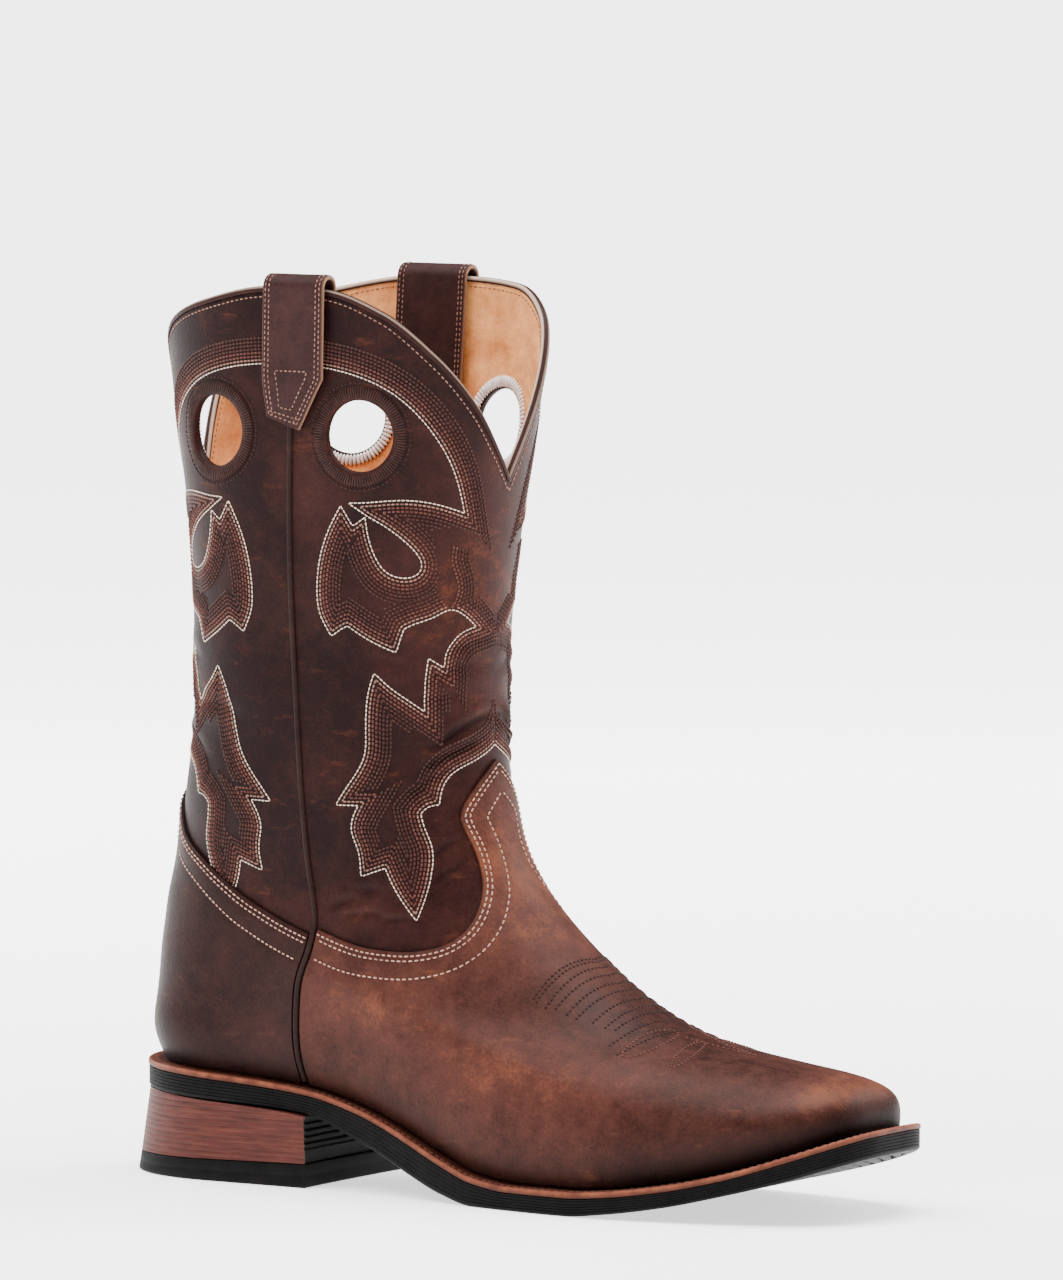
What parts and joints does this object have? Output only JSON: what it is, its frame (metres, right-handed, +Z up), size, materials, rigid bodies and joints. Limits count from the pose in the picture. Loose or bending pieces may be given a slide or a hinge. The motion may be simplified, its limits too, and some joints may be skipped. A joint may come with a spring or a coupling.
{
  "type": "western riding boot",
  "caption": "Right leather western riding boot with scalloped collar, pull straps and pull holes, square toe, welted sole and stacked heel; open inside for a foot.",
  "frame": {"origin": "middle of the footprint's box, on the ground the boot stands on", "axes": "+X to the toe, +Y to the inner side of the foot, +Z up along the shaft"},
  "size_m": [0.3096, 0.1026, 0.3268],
  "materials": {
    "shaft_leather": "oiled dark brown, worn",
    "vamp_leather": "oiled reddish brown, worn",
    "counter_leather": "oiled brown, worn",
    "edge_leather": "dark brown",
    "strap_leather": "oiled dark brown",
    "insole_leather": "natural tan",
    "welt_leather": "natural, dressed edge",
    "sole_rubber": "matt black",
    "heel_leather": "stacked leather, burnished",
    "cap_rubber": "matt black"
  },
  "bodies": {
    "root": {"upper": "shaft_leather", "vamp": "vamp_leather", "counter": "counter_leather", "side_piping_outer": "edge_leather", "side_piping_inner": "edge_leather", "collar_binding": "edge_leather", "pull_strap_outer": "strap_leather", "pull_strap_inner": "strap_leather", "insole": "insole_leather", "welt": "welt_leather", "outsole": "sole_rubber", "heel_stack": "heel_leather", "heel_cap": "cap_rubber"}
  },
  "joints": []
}
